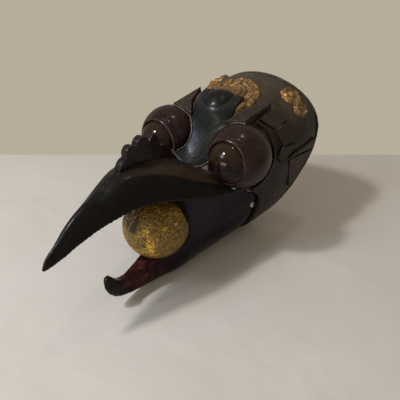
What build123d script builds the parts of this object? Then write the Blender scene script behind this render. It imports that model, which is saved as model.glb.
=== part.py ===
from build123d import *
import os

# A carved bird-beaked masquerade mask. Millimetres, +Z up, the beak points along -Y.
# X = 0 is the plane of symmetry and the mask stands on Z = 0, on its jaw and its rear rim.

# ---- driving dimensions ----
WALL = 4.5                 # thickness of the carved shell
RIM_WIDTH = 6.0            # width of the bead along the open back
RIM_PROUD = 1.2            # how far that bead stands out of the shell
SEAM_Y = 31.0              # where the beak is joined to the face shell

EYE_X = 57.0               # eye hood centre, each side of the middle
EYE_Y = 50.0
EYE_Z = 157.0
HOOD_RADIUS = 41.0
HOOD_WALL = 4.5
HOOD_FRONT_Y = 22.0        # plane of the hood's opening
HOOD_BACK_Y = 66.0         # plane where the hood ends inside the mask
LENS_RADIUS = 28.0
LENS_Y = 31.0              # centre of the lens dome
LENS_WALL = 2.5
FLANGE_Y = 38.0            # front of the lens flange
FLANGE_THICKNESS = 2.0
FLANGE_RADIUS = 34.4
RETAINER_RADIUS = 35.0
RETAINER_LENGTH = 5.0
SOCKET_INNER = 47.0        # socket ring, measured from the hood centre
SOCKET_OUTER = 51.0

PIVOT_Y = 78.0             # jaw hinge axis, along X
PIVOT_Z = 76.0
PIN_RADIUS = 3.0
PIN_CLEARANCE = 0.05
TONGUE_INNER = 50.0        # hinge stack, measured from the middle plane
TONGUE_OUTER = 54.5
WASHER_THICKNESS = 1.0
JAW_BOSS_INNER = 55.8      # round boss on the jaw that turns on the pin
JAW_BOSS_OUTER = 63.0
JAW_BOSS_RADIUS = 11.0
BOLT_HEAD_GAP = 0.3
BOLT_HEAD_RADIUS = 6.0
BOLT_HEAD_HEIGHT = 3.6
RECESS_GAP = 1.2           # room around the sunk bolt head
NUT_THICKNESS = 4.0

JAW_TOP = 140.0            # height from which the jaw's elliptical section hangs
JAW_WALL = 5.0
JAW_FLOOR = 6.5

BALL_RADIUS = 42.5
BALL_Y = -47.5
BALL_Z = 81.0
BALL_GAP = 0.05
DOWEL_RADIUS = 4.0
DOWEL_LOW = 14.0
DOWEL_HIGH = 62.0

CREST_THICKNESS = 9.0
DOME_Y = 87.0              # flat dome on the forehead, between the wreath's arms
DOME_Z = 193.0
DOME_RADIUS = 29.0
WREATH_Y = 104.0           # middle of the wreath
STRAP_Y = 187.0
STRAP_THICKNESS = 2.5
STRAP_LOW = 112.0
STRAP_HIGH = 138.0
ANCHOR_THICKNESS = 3.0

WIDE = 150.0               # half-width of a cutting prism, wider than the mask
GROUND = -12.0             # heights below and above the whole mask, for cutting shapes
SKY = 260.0

# Boxes that bound the lining: x low, x high, y low, y high, z low, z high.
FOREHEAD_PAD_BOX = (-42, 42, 92, 150, 195, SKY)
CHEEK_PAD_BOX = (40, 110, 132, 168, 62, 108)
STRAP_ANCHOR_BOX = (50, 120, STRAP_Y - 10, STRAP_Y + 6, STRAP_LOW - 4, STRAP_HIGH + 4)
CROWN_ANCHOR_BOX = (-16, 16, STRAP_Y - 12, STRAP_Y + 4, 190, SKY)
SOCKET_BOX = (60, 140, 56, 120, 96, 196)
WREATH_FRONT_Y = 80.0      # plane where the wreath's two arms end

# Head oval: y, half width, top, height of the widest point, bottom.
HEAD_STATIONS = [
    (31, 66, 146, 118, 20),
    (45, 70, 152, 121, 13),
    (55, 73, 168, 124, 9.5),
    (62, 76, 190, 125.5, 7.5),
    (68, 78.5, 200, 127, 6),
    (76, 81, 208.5, 130, 4.8),
    (90, 84.5, 213.5, 136, 3.2),
    (110, 88.5, 216.5, 142, 2),
    (135, 90.5, 219, 147, 1.3),
    (170, 93, 223, 151, 8),
    (212, 90, 220, 153, 34),
]

# Beak: y, lip half width, lip height, crease half width, crease height, ridge half width, ridge height.
BEAK_STATIONS = [
    (-207, 1.8, 110.5, 1.6, 112.5, 0.8, 114),
    (-192, 6.5, 115.5, 5, 123, 2, 129),
    (-171, 13.5, 126.5, 9, 138, 3, 145.5),
    (-149, 20, 135.5, 12, 149, 4, 157),
    (-127, 27, 142, 13.5, 160, 4, 165.5),
    (-103, 33, 145, 15, 172, 4.5, 176.5),
    (-78, 38, 142, 21, 172, 5, 177),
    (-51, 44, 134, 30, 163, 5, 173),
    (-26, 51, 127, 38, 150, 5, 167),
    (0, 59, 120, 48, 138, 5, 152),
    (20, 63, 117, 56, 130, 6, 139),
    (SEAM_Y, 66, 115, 60, 125, 8, 133),
]

# The hollow inside the beak, open downwards, in the same order of values.
BEAK_HOLLOW = [
    (-78, 8, 118, 6, 148, 2, 152),
    (-51, 38, 108, 24, 155, 4, 164),
    (-26, 45, 100, 32, 143, 5, 158),
    (0, 53, 94, 42, 131, 5, 143),
    (20, 57, 92, 50, 123.5, 6, 131),
    (SEAM_Y + 1, 60, 90, 54, 118.5, 8, 125.5),
]

# Jaw: y, bilge half width, bilge height, flat keel half width, keel height, top half width.
JAW_STATIONS = [
    (-138, 2.5, 60, 1, 38, 2.5),
    (-133, 4, 60, 1, 26.5, 4),
    (-126, 5, 52, 1, 18, 5),
    (-116, 6, 46, 1, 12, 6),
    (-100, 7, 42, 1, 6.5, 7),
    (-82, 9, 40, 1, 3, 9),
    (-64, 12.5, 40, 1.5, 0.8, 13),
    (-50, 19, 44, 2, 0, 22),
    (-42, 26, 52, 2, 0, 40),
    (-34, 34, 62, 2, 0, 43.5),
    (-27, 38.5, 66, 2, 0, 45),
    (-15, 40, 70, 2, 0.3, 47),
    (0, 43, 74, 2, 1, 50.5),
    (20, 48, 80, 3, 2.2, 56),
    (45, 58, 90, 4, 4.6, 64),
    (70, 68.5, 104, 6, 8, 71.5),
    (88, 77.5, 133, 1, 9, 78.5),
    (106, 82, 138, 1, 8, 83),
]
JAW_HOLLOW_START = 10      # index of the first station with a hollow

# Mouth line, y and height, where the upper half rests on the jaw.
MOUTH_LINE = [(-39, 131), (-26, 127), (0, 120), (31, 115), (48, 112), (64, 103)]
MOUTH_GAP = 1.0


# ---- helpers ----
def across(y):
    """Plane square to the mask's length: local x is X and local y is Z."""
    return Plane(origin=(0, y, 0), x_dir=(1, 0, 0), z_dir=(0, -1, 0))


def side_prism(edges, half_width=WIDE):
    """Solid from a closed side outline in Y and Z; by default it is wider than the mask."""
    outline = Plane(origin=(-half_width, 0, 0), x_dir=(0, 1, 0), z_dir=(1, 0, 0)) * make_face(edges)
    return extrude(outline, amount=2 * half_width, dir=(1, 0, 0))


def block(x_low, x_high, y_low, y_high, z_low, z_high):
    """Box between two corners."""
    size = (x_high - x_low, y_high - y_low, z_high - z_low)
    middle = ((x_low + x_high) / 2, (y_low + y_high) / 2, (z_low + z_high) / 2)
    return Pos(*middle) * Box(*size)


def between(y_low, y_high):
    """Slab between two planes square to the mask's length."""
    return block(-WIDE, WIDE, y_low, y_high, GROUND, SKY)


def disc(x_low, x_high, y, z, radius):
    """Cylinder along X between two planes."""
    middle = (x_low + x_high) / 2
    return Pos(middle, y, z) * (Rot(0, 90, 0) * Cylinder(radius, x_high - x_low))


def other_side(shape):
    """Mirror image in the plane of symmetry."""
    return mirror(shape, about=Plane.YZ)


def egg(y, half_width, top, middle, bottom):
    """Egg-shaped face: two half ellipses that share their widest line."""
    upper = EllipticalCenterArc((0, middle), half_width, top - middle, start_angle=0, arc_size=180)
    lower = EllipticalCenterArc((0, middle), half_width, middle - bottom, start_angle=180, arc_size=180)
    return across(y) * make_face([upper, lower])


def finer(stations):
    """Stations with one more between each pair, on a smooth curve through them."""
    count = len(stations)
    result = []
    for i in range(count - 1):
        before = stations[max(i - 1, 0)]
        here = stations[i]
        there = stations[i + 1]
        after = stations[min(i + 2, count - 1)]
        middle = []
        for a, b, c, d in zip(before, here, there, after):
            middle.append((9 * (b + c) - a - d) / 16)
        result.append(here)
        result.append(tuple(middle))
    result.append(stations[-1])
    return result


def head_volume(grow=0.0):
    """Solid oval of the head, grown or shrunk; its steep brow also moves forward or back."""
    first = HEAD_STATIONS[0][0]
    last = HEAD_STATIONS[-1][0]
    sections = []
    for y, half_width, top, middle, bottom in finer(HEAD_STATIONS):
        lean = min(1.0, max(0.0, (110 - y) / 30))
        station = y - grow * lean
        if y == first:
            station = y + 0.2 * grow
        if y == last:
            station = y - 0.2 * grow
        sections.append(egg(station, half_width + grow, top + grow, middle, bottom - grow))
    return loft(sections, ruled=True)


def beak_face(y, lip, lip_z, crease, crease_z, ridge, ridge_z):
    """Six-sided beak section: palate, two flanks, two bevels and a rounded ridge."""
    bulge = 0.05
    flank_middle = ((lip + crease) / 2 + bulge * (crease_z - lip_z), (lip_z + crease_z) / 2)
    bevel_middle = ((crease + ridge) / 2, (crease_z + ridge_z) / 2 + bulge * (crease - ridge))
    ridge_top = (0, ridge_z + ridge * 0.4)
    edges = [
        Line((-lip, lip_z), (lip, lip_z)),
        ThreePointArc((lip, lip_z), flank_middle, (crease, crease_z)),
        ThreePointArc((crease, crease_z), bevel_middle, (ridge, ridge_z)),
        ThreePointArc((ridge, ridge_z), ridge_top, (-ridge, ridge_z)),
        ThreePointArc((-ridge, ridge_z), (-bevel_middle[0], bevel_middle[1]), (-crease, crease_z)),
        ThreePointArc((-crease, crease_z), (-flank_middle[0], flank_middle[1]), (-lip, lip_z)),
    ]
    return across(y) * make_face(edges)


def jaw_face(y, bilge, bilge_z, flat, keel, top, inset=0.0, floor=0.0):
    """Jaw section: flat keel, two quarter-ellipse bilges and two straight walls."""
    bilge -= inset
    top -= inset
    flat = min(flat, bilge - 1)
    base = keel + floor
    depth = bilge_z - base
    right = EllipticalCenterArc((flat, bilge_z), bilge - flat, depth, start_angle=270, arc_size=90)
    left = EllipticalCenterArc((-flat, bilge_z), bilge - flat, depth, start_angle=180, arc_size=90)
    edges = [
        left,
        Line((-flat, base), (flat, base)),
        right,
        Line((bilge, bilge_z), (top, JAW_TOP)),
        Line((top, JAW_TOP), (-top, JAW_TOP)),
        Line((-top, JAW_TOP), (-bilge, bilge_z)),
    ]
    return across(y) * make_face(edges)


def hood_ball(radius):
    """Sphere about the right eye hood's centre."""
    return Pos(EYE_X, EYE_Y, EYE_Z) * Sphere(radius)


def lens_ball(radius):
    """Sphere about the right lens dome's centre."""
    return Pos(EYE_X, LENS_Y, EYE_Z) * Sphere(radius)


def both(shape):
    """A right-hand cutting shape together with its mirror image."""
    return shape + other_side(shape)


# ---- cutting shapes shared by several pieces ----
def rear_cut(shift):
    """Everything behind the slanted open back, moved forward by shift."""
    rim = [(134, GROUND), (145, 20), (155, 42), (170, 66), (188, 87), (203, 108), (207, 140),
           (204, 185), (197, 215), (188, SKY)]
    points = [(y - shift, z) for y, z in rim]
    behind = [points[-1], (SKY, SKY), (SKY, GROUND), points[0]]
    return side_prism([Spline(points), Polyline(behind)])


def jaw_bay():
    """Space below the mouth and in front of the cheeks, left free for the jaw."""
    edge = [(-60, 134)] + MOUTH_LINE + [(77, 88), (81.5, 64), (90, 30), (102, GROUND)]
    below = [edge[-1], (-60, GROUND), edge[0]]
    return side_prism([Spline(edge), Polyline(below)])


# ---- root body: the carved head ----
def make_face_shell(head, hollow):
    shell = head - hollow
    shell -= rear_cut(RIM_WIDTH)
    shell -= jaw_bay()
    shell -= both(hood_ball(HOOD_RADIUS))
    return shell


def make_rear_rim_binding(hollow):
    ring = head_volume(RIM_PROUD) - hollow
    strip = rear_cut(RIM_WIDTH) - rear_cut(0)
    return ring & strip


def make_beak_volume():
    return loft([beak_face(*values) for values in BEAK_STATIONS])


def make_upper_beak(volume):
    beak = volume - loft([beak_face(*values) for values in BEAK_HOLLOW])
    hoods = both(hood_ball(HOOD_RADIUS) + lens_ball(LENS_RADIUS + 1.5))
    return beak - hoods


def make_beak_crest(beak_volume):
    lobes = [
        ((-101, 174), (-98, 185), (-88.5, 190)),
        ((-88.5, 190), (-85.5, 200.5), (-73.5, 197)),
        ((-73.5, 197), (-66, 206.5), (-55, 196.5)),
        ((-55, 196.5), (-51, 201.5), (-45.5, 205.5)),
        ((-45.5, 205.5), (-40, 198), (-37.2, 187.5)),
        ((-37.2, 187.5), (-27, 184.5), (-16, 167)),
    ]
    scallops = [ThreePointArc(*lobe) for lobe in lobes]
    start = lobes[0][0]
    end = lobes[-1][2]
    base = Polyline([end, (end[0], 150), (start[0], 150), start])
    return side_prism(scallops + [base], CREST_THICKNESS / 2) - beak_volume


def nose_profile(x):
    """Side outline of the nose bridge at one distance from the middle."""
    raised = 15 * (x / 30) ** 2
    fall = 6 * (x / 20) ** 2
    front = [
        (20, 138 + raised),
        (34, 149 + 0.85 * raised),
        (45, 164 + 0.5 * raised),
        (53 + 0.3 * fall, 180 + 0.2 * raised),
        (55.5 + 0.8 * fall, 194),
        (59 + fall, 205),
        (70 + 0.8 * fall, 212),
        (96, 217),
    ]
    foot = (20, 134.5 + raised)
    heel = (96, 134.5 + raised)
    edges = [Spline(front), Line(front[-1], heel), Line(heel, foot), Line(foot, front[0])]
    return Plane(origin=(x, 0, 0), x_dir=(0, 1, 0), z_dir=(1, 0, 0)) * make_face(edges)


def make_nose_bridge(head, beak_volume):
    half = loft([nose_profile(0), nose_profile(11), nose_profile(22), nose_profile(31)])
    nose = half + other_side(half)
    nose -= both(hood_ball(HOOD_RADIUS))
    nose -= beak_volume
    nose -= forehead_ball()
    return nose - head


def forehead_ball():
    return Pos(0, DOME_Y, DOME_Z) * Sphere(DOME_RADIUS)


def make_forehead_boss(head):
    return forehead_ball() - head


def oval_prism(half_x, half_y, y):
    """Upright elliptical prism on the forehead."""
    return Pos(0, y, 190) * extrude(Ellipse(half_x, half_y), amount=60)


def make_forehead_wreath(head, boss, nose):
    ring = oval_prism(41, 45, WREATH_Y) - oval_prism(25, 30, WREATH_Y)
    ring -= between(0, WREATH_FRONT_Y)
    band = head_volume(6.0) - head
    return (ring & band) - boss - nose


def make_forehead_medallion(head, boss, nose):
    band = head_volume(3.0) - head
    return (oval_prism(23, 28, WREATH_Y) & band) - boss - nose


def make_temple_rosette(head):
    centre = Vector(70, 168, 200)
    normal = Vector(68, 3, 73).normalized()
    axis = Plane(origin=centre - normal * 15, x_dir=(0, 1, 0), z_dir=normal)
    petal_disc = extrude(axis * Ellipse(19, 26), amount=30)
    return petal_disc & (head_volume(6.0) - head)


def make_eye_hood():
    hood = hood_ball(HOOD_RADIUS) - hood_ball(HOOD_RADIUS - HOOD_WALL) - lens_ball(LENS_RADIUS)
    return hood & between(HOOD_FRONT_Y, HOOD_BACK_Y)


def make_eye_lens():
    dome = lens_ball(LENS_RADIUS) - lens_ball(LENS_RADIUS - LENS_WALL)
    dome &= between(-WIDE, FLANGE_Y + FLANGE_THICKNESS)
    ring_plane = Plane(origin=(EYE_X, FLANGE_Y, EYE_Z), x_dir=(1, 0, 0), z_dir=(0, 1, 0))
    flange = extrude(ring_plane * (Circle(FLANGE_RADIUS) - Circle(LENS_RADIUS - 3)), amount=FLANGE_THICKNESS)
    return dome + flange


def make_lens_retainer():
    start = FLANGE_Y + FLANGE_THICKNESS
    ring_plane = Plane(origin=(EYE_X, start, EYE_Z), x_dir=(1, 0, 0), z_dir=(0, 1, 0))
    return extrude(ring_plane * (Circle(RETAINER_RADIUS) - Circle(LENS_RADIUS + 0.5)), amount=RETAINER_LENGTH)


def make_socket_ring(head, nose):
    ring = hood_ball(SOCKET_OUTER) - hood_ball(SOCKET_INNER)
    ring &= head_volume(4.0) - head
    ring &= block(*SOCKET_BOX)
    return ring - nose


# Overlapping plates on the right temple: corners near the head's surface, height above it, depth.
TEMPLE_PLATES = {
    "temple_plate_upper": ([(61, 87, 195), (66, 116, 201), (78, 128, 189), (79, 104, 180)], 1.0, 20),
    "temple_plate_middle": ([(78, 100, 181), (81, 132, 186), (90, 141, 167), (89, 109, 158)], 1.0, 20),
    "temple_plate_lower": ([(88, 94, 147), (89, 106, 158), (93, 137, 154), (91, 105, 136)], 0.8, 20),
    "cheek_bar": ([(91, 105, 138), (94, 147, 142), (95, 193, 145), (95, 188, 131), (93, 143, 136)],
                  1.2, 20),
    "cheek_plate": ([(92, 123, 134), (95, 186, 129), (89, 167, 97), (84, 144, 82)], 0.5, 20),
}

# Leaf over the right eye: corners of its flat top and of the facet that falls to its front tip.
LEAF_TOP = [(57, 57, 202), (59, 120, 207), (50, 99, 208), (39, 74, 203)]
LEAF_FRONT = [(27, 58, 193), (57, 57, 202), (39, 74, 203)]
LEAF_DEPTH = 26
HEAD_MIDDLE = Vector(0, 110, 130)


def flat_plate(corners, proud, depth):
    """Flat plate through its corners, raised above them and as deep as given."""
    points = [Vector(*corner) for corner in corners]
    centre = sum(points, Vector(0, 0, 0)) * (1 / len(points))
    normal = Vector(0, 0, 0)
    for here, there in zip(points, points[1:] + points[:1]):
        normal += (here - centre).cross(there - centre)
    if normal.dot(centre - HEAD_MIDDLE) < 0:
        normal = normal * -1
    normal = normal.normalized()
    top = Plane(origin=centre + normal * proud, x_dir=(0, 1, 0), z_dir=normal)
    outline = [top.to_local_coords(point) for point in points]
    face = make_face(Polyline([(p.X, p.Y) for p in outline], close=True))
    return extrude(top * face, amount=-depth)


def make_temple_plates(head, taken):
    """The leaf and five plates of the right temple; each is trimmed by those that lie over it."""
    rough = {"brow_leaf": flat_plate(LEAF_TOP, 0, LEAF_DEPTH) + flat_plate(LEAF_FRONT, 0, LEAF_DEPTH)}
    for name, (corners, proud, depth) in TEMPLE_PLATES.items():
        rough[name] = flat_plate(corners, proud, depth)
    plates = {}
    for name, plate in rough.items():
        plate -= head
        for other in taken + list(plates.values()):
            plate -= other
        plates[name] = plate
    return plates


# ---- root body: lining, straps and hinge ----
def lining(outer, inner, region):
    """Slab that follows the inside of the shell between two depths."""
    return (head_volume(-outer) - head_volume(-inner)) & region


def make_forehead_pad():
    return lining(WALL + 0.1, WALL + 12, block(*FOREHEAD_PAD_BOX))


def make_cheek_pad():
    return lining(WALL + 0.1, WALL + 13, block(*CHEEK_PAD_BOX))


def make_strap_anchor():
    return lining(WALL, WALL + ANCHOR_THICKNESS, block(*STRAP_ANCHOR_BOX))


def make_crown_anchor():
    return lining(WALL, WALL + ANCHOR_THICKNESS, block(*CROWN_ANCHOR_BOX))


def make_head_strap():
    band = block(-WIDE, WIDE, STRAP_Y, STRAP_Y + STRAP_THICKNESS, STRAP_LOW, STRAP_HIGH)
    return band & head_volume(-WALL - ANCHOR_THICKNESS)


def make_crown_strap():
    band = block(-12, 12, STRAP_Y, STRAP_Y + STRAP_THICKNESS, STRAP_HIGH, SKY)
    return band & head_volume(-WALL - ANCHOR_THICKNESS)


def make_strap_rivets():
    """Two flat-headed rivets through each side anchor's inner face."""
    rivets = []
    for z in (STRAP_LOW + 5, STRAP_HIGH - 5):
        rivet = disc(70, WIDE, STRAP_Y - 5, z, 2.5)
        rivet &= head_volume(-WALL - ANCHOR_THICKNESS) - head_volume(-WALL - ANCHOR_THICKNESS - 1.2)
        rivets.append(rivet)
        rivets.append(other_side(rivet))
    return Compound(children=rivets)


def make_hinge_bracket():
    """Tongue that carries the pivot, on a foot that fills the gap to the cheek."""
    low = PIVOT_Z - 7
    high = PIVOT_Z + 7
    tongue = block(TONGUE_INNER, TONGUE_OUTER, PIVOT_Y, 126, low, high)
    tongue += disc(TONGUE_INNER, TONGUE_OUTER, PIVOT_Y, PIVOT_Z, 7)
    foot = block(TONGUE_INNER, 100, 110, 126, PIVOT_Z - 12, PIVOT_Z + 12)
    bracket = (tongue + foot) & head_volume(-WALL)
    return bracket - disc(0, WIDE, PIVOT_Y, PIVOT_Z, PIN_RADIUS)


def make_pivot_bolt():
    """Plain shank with a domed head."""
    base = JAW_BOSS_OUTER + BOLT_HEAD_GAP
    head = disc(base, base + BOLT_HEAD_HEIGHT, PIVOT_Y, PIVOT_Z, BOLT_HEAD_RADIUS)
    outer_edge = head.edges().filter_by(GeomType.CIRCLE).sort_by(Axis.X)[-1]
    head = fillet(outer_edge, 0.8 * BOLT_HEAD_HEIGHT)
    return head + disc(TONGUE_INNER - NUT_THICKNESS - 1, base, PIVOT_Y, PIVOT_Z, PIN_RADIUS)


def make_pivot_nut():
    plane = Plane(origin=(TONGUE_INNER - NUT_THICKNESS, PIVOT_Y, PIVOT_Z), x_dir=(0, 1, 0), z_dir=(1, 0, 0))
    return extrude(plane * (RegularPolygon(6, 6) - Circle(PIN_RADIUS)), amount=NUT_THICKNESS)


def make_friction_washer():
    ring = disc(TONGUE_OUTER, TONGUE_OUTER + WASHER_THICKNESS, PIVOT_Y, PIVOT_Z, 6.5)
    return ring - disc(0, WIDE, PIVOT_Y, PIVOT_Z, PIN_RADIUS)


# ---- jaw body ----
def jaw_outline():
    """Side outline of the jaw: hooked tip, rim, tall back wall, mouth edge and rear edge."""
    mouth = [(y, z - MOUTH_GAP) for y, z in MOUTH_LINE]
    rim = Spline([(-137, 51), (-133, 53.5), (-121, 42.5), (-107, 35.5), (-96, 36.5), (-72, 41),
                  (-58, 42), (-44, 46), (-35, 56), (-31, 70)])
    wall = Spline([(-31, 70), (-31.5, 100), mouth[0]])
    lip = Spline(mouth)
    rear = Spline([mouth[-1], (78, 95), (87, 86), (92, 68), (97, 36), (104, GROUND)])
    below = Polyline([(104, GROUND), (-WIDE, GROUND), (-WIDE, 51), (-137, 51)])
    return side_prism([rim, wall, lip, rear, below])


def make_lower_jaw(ball_seat, dowel):
    outer = loft([jaw_face(*values) for values in JAW_STATIONS], ruled=True)
    inner_faces = [jaw_face(*values, JAW_WALL, JAW_FLOOR) for values in JAW_STATIONS[JAW_HOLLOW_START:]]
    hollow = loft(inner_faces, ruled=True)
    jaw = (outer & jaw_outline()) - hollow
    boss = disc(JAW_BOSS_INNER, JAW_BOSS_OUTER, PIVOT_Y, PIVOT_Z, JAW_BOSS_RADIUS)
    jaw = jaw + boss + other_side(boss)
    recess = disc(JAW_BOSS_OUTER, WIDE, PIVOT_Y, PIVOT_Z, BOLT_HEAD_RADIUS + RECESS_GAP)
    jaw -= both(recess)
    jaw -= disc(-WIDE, WIDE, PIVOT_Y, PIVOT_Z, PIN_RADIUS + PIN_CLEARANCE)
    return jaw - ball_seat - dowel


def make_ball_dowel():
    """Wooden pin that joins the ball to the jaw below it."""
    length = DOWEL_HIGH - DOWEL_LOW
    return Pos(0, BALL_Y, DOWEL_LOW + length / 2) * Cylinder(DOWEL_RADIUS, length)


def make_gilded_ball(dowel):
    return Pos(0, BALL_Y, BALL_Z) * Sphere(BALL_RADIUS) - dowel


# ---- build and write ----
def build():
    head = head_volume()
    hollow = head_volume(-WALL)
    beak_volume = make_beak_volume()
    pieces = {}
    pieces["face_shell"] = make_face_shell(head, hollow)
    pieces["rear_rim_binding"] = make_rear_rim_binding(hollow)
    pieces["upper_beak"] = make_upper_beak(beak_volume)
    pieces["beak_crest"] = make_beak_crest(beak_volume)
    nose = make_nose_bridge(head, beak_volume)
    boss = make_forehead_boss(head)
    pieces["nose_bridge"] = nose
    pieces["forehead_boss"] = boss
    wreath = make_forehead_wreath(head, boss, nose)
    pieces["forehead_wreath"] = wreath
    pieces["forehead_medallion"] = make_forehead_medallion(head, boss, nose)
    ring = make_socket_ring(head, nose)
    hood = hood_ball(HOOD_RADIUS)
    right = {
        "temple_rosette": make_temple_rosette(head),
        "eye_hood": make_eye_hood(),
        "eye_lens": make_eye_lens(),
        "lens_retainer": make_lens_retainer(),
        "socket_ring": ring,
        "cheek_pad": make_cheek_pad(),
        "strap_anchor": make_strap_anchor(),
        "hinge_bracket": make_hinge_bracket(),
        "jaw_pivot_bolt": make_pivot_bolt(),
        "jaw_pivot_nut": make_pivot_nut(),
        "friction_washer": make_friction_washer(),
    }
    taken = [hood, ring, nose, boss, wreath]
    right.update(make_temple_plates(head, taken))
    for name, shape in right.items():
        pieces[name + "_right"] = shape
        pieces[name + "_left"] = other_side(shape)
    pieces["forehead_pad"] = make_forehead_pad()
    pieces["crown_anchor"] = make_crown_anchor()
    pieces["head_strap"] = make_head_strap()
    pieces["crown_strap"] = make_crown_strap()
    pieces["strap_rivets"] = make_strap_rivets()
    dowel = make_ball_dowel()
    seat = Pos(0, BALL_Y, BALL_Z) * Sphere(BALL_RADIUS + BALL_GAP)
    pieces["lower_jaw"] = make_lower_jaw(seat, dowel)
    pieces["gilded_ball"] = make_gilded_ball(dowel)
    pieces["ball_dowel"] = dowel
    return pieces


if __name__ == "__main__":
    os.makedirs("parts", exist_ok=True)
    for node, shape in build().items():
        export_step(shape, "parts/" + node + ".step")
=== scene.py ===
import math

import bmesh
import bpy
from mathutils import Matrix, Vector, noise
from mathutils.bvhtree import BVHTree


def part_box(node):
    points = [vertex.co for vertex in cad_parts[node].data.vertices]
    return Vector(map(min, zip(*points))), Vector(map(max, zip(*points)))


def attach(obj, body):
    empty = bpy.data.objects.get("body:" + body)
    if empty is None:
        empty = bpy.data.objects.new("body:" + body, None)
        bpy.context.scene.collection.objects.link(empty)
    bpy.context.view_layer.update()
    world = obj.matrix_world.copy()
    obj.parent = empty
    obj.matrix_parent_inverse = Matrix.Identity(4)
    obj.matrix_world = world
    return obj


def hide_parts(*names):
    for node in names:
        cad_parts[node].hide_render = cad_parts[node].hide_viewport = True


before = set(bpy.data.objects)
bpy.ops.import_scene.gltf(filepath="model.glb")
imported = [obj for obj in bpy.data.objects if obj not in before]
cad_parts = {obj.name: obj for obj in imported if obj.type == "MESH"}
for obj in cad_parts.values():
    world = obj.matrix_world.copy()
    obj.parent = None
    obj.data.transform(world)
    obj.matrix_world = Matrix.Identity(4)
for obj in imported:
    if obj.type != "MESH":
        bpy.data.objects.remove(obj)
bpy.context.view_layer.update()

# ---- driving values, in metres ----
MM = 0.001
HEAD = "head"
JAW = "jaw"
SIDES = (("right", 1), ("left", -1))
CAMERA_TARGET = Vector((0, 0.0425, 0.075))
CAMERA_DISTANCE = 0.607
CAMERA_DIRECTION = Vector((0.528, -0.675, 0.515))
CAMERA_LENS = 38.7
FLOOR_BEHIND = 0.345           # how far the floor reaches past the frame's origin, away from the camera
FLOOR_FRONT = 6
FLOOR_HALF_WIDTH = 4
KEY_DIRECTION = Vector((-0.255, -0.553, 0.794))   # from the mask to the lamp that casts its shadow
LAMPS = {
    # name: direction from the mask, distance, width, height, watts, colour
    "key": (KEY_DIRECTION, 1.6, 0.12, 0.14, 14, (1.0, 0.96, 0.92)),
    "window": (KEY_DIRECTION + Vector((-0.03, -0.12, -0.12)), 1.5, 0.42, 0.60, 9, (0.66, 0.78, 1.0)),
    "bounce": (Vector((0.0, -0.95, 0.15)), 1.5, 0.7, 0.3, 5.0, (1.0, 0.90, 0.74)),
    "ceiling": (Vector((0.05, 0.13, 1.0)), 1.8, 0.12, 0.12, 2, (1.0, 0.95, 0.88)),
}

HEAD_MIDDLE = Vector((0, 0.13, 0.13))
EYE_X = 57 * MM                # centre of the hood on the +X side, as in the CAD
EYE_Y = 50 * MM
EYE_Z = 157 * MM
HOOD_RADIUS = 41 * MM
HOOD_BACK_Y = 66 * MM          # the hood's open back edge, inside the mask next to the nose only
HOOD_LIP_Y = 24.6 * MM         # where its outside turns into the lid
LID_GROOVE_Y = 28.6 * MM
LID_RIDGE_Y = 26.4 * MM
LENS_CENTRE_Y = 31 * MM
LENS_RADIUS = 28 * MM
LENS_WALL = 2.5 * MM
RIM_BEAD = 0.8 * MM            # radius of the bead round the hoods
LIP_BEAD = 1.1 * MM            # radius of the bead under the nose bridge
LIP_Y = 20.6 * MM
LIP_LOW = 137.0 * MM           # height of that bead in the middle
LIP_RISE = 15 * MM             # how much higher its ends are
LIP_HALF_WIDTH = 30 * MM

BALL_RADIUS = 42.5 * MM
WREATH_Y = 104 * MM            # middle of the wreath and of the dish inside it
WREATH_HALF_X = 33 * MM
WREATH_HALF_Y = 37.5 * MM
LEAF_HALF_WIDTH = 8.6 * MM
DISH_HALF_X = 23 * MM
DISH_HALF_Y = 28 * MM
ROSETTE_HALF_LENGTH = 25 * MM
ROSETTE_HALF_WIDTH = 29 * MM
ROSETTE_CENTRE = (70 * MM, 168 * MM, 200 * MM)    # on the +X side; the other one is mirrored
ROSETTE_OUTWARD = (68, 3, 73)
ROSETTE_DOWNWARD = (73, -8, -68)
ORNAMENT_DEPTH = 1.5 * MM      # how far an ornament's underside lies below the shell's surface

PAD_SHRINK = 0.93              # a pad's size before the cloth simulation
PAD_FRAMES = 20
STRAP_SIDES = 24               # points round a strap's section
STITCH_PITCH = 5 * MM
STITCH_INSET = 3 * MM          # from the strap's edges to a row of stitches
STITCH_MARGIN = 4 * MM         # from the strap's ends to the first stitch
STITCH_RADIUS = 0.45 * MM

# Sections of the hood as pairs of radius and Y, in millimetres.
LID_EDGE = [
    (31.9, 24.0), (31.4, 22.3), (30.4, 21.2), (29.2, 20.9), (28.2, 21.4), (27.6, 22.6), (27.2, 24.0),
]
PLAIN_EDGE = [
    (30.4, 22.3), (29.0, 21.2), (27.8, 20.4), (26.8, 19.8), (26.2, 19.9), (26.2, 21.0), (26.9, 23.4),
]
HOOD_INSIDE = [
    (28.2, 28.0), (31.0, 31.0), (33.7, 36.0), (35.9, 43.0), (36.5, 50.0), (35.2, 59.0), (33.0, 66.0),
]


# ---- mesh helpers ----
def link(name, mesh):
    """New object in the scene that shows a mesh."""
    piece = bpy.data.objects.new(name, mesh)
    bpy.context.scene.collection.objects.link(piece)
    return piece


def shade_smooth(piece):
    """Smooth shading on every face."""
    for polygon in piece.data.polygons:
        polygon.use_smooth = True


def apply_modifiers(piece):
    """Bakes a piece's modifiers into its mesh."""
    graph = bpy.context.evaluated_depsgraph_get()
    mesh = bpy.data.meshes.new_from_object(piece.evaluated_get(graph))
    piece.modifiers.clear()
    piece.data = mesh


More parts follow.
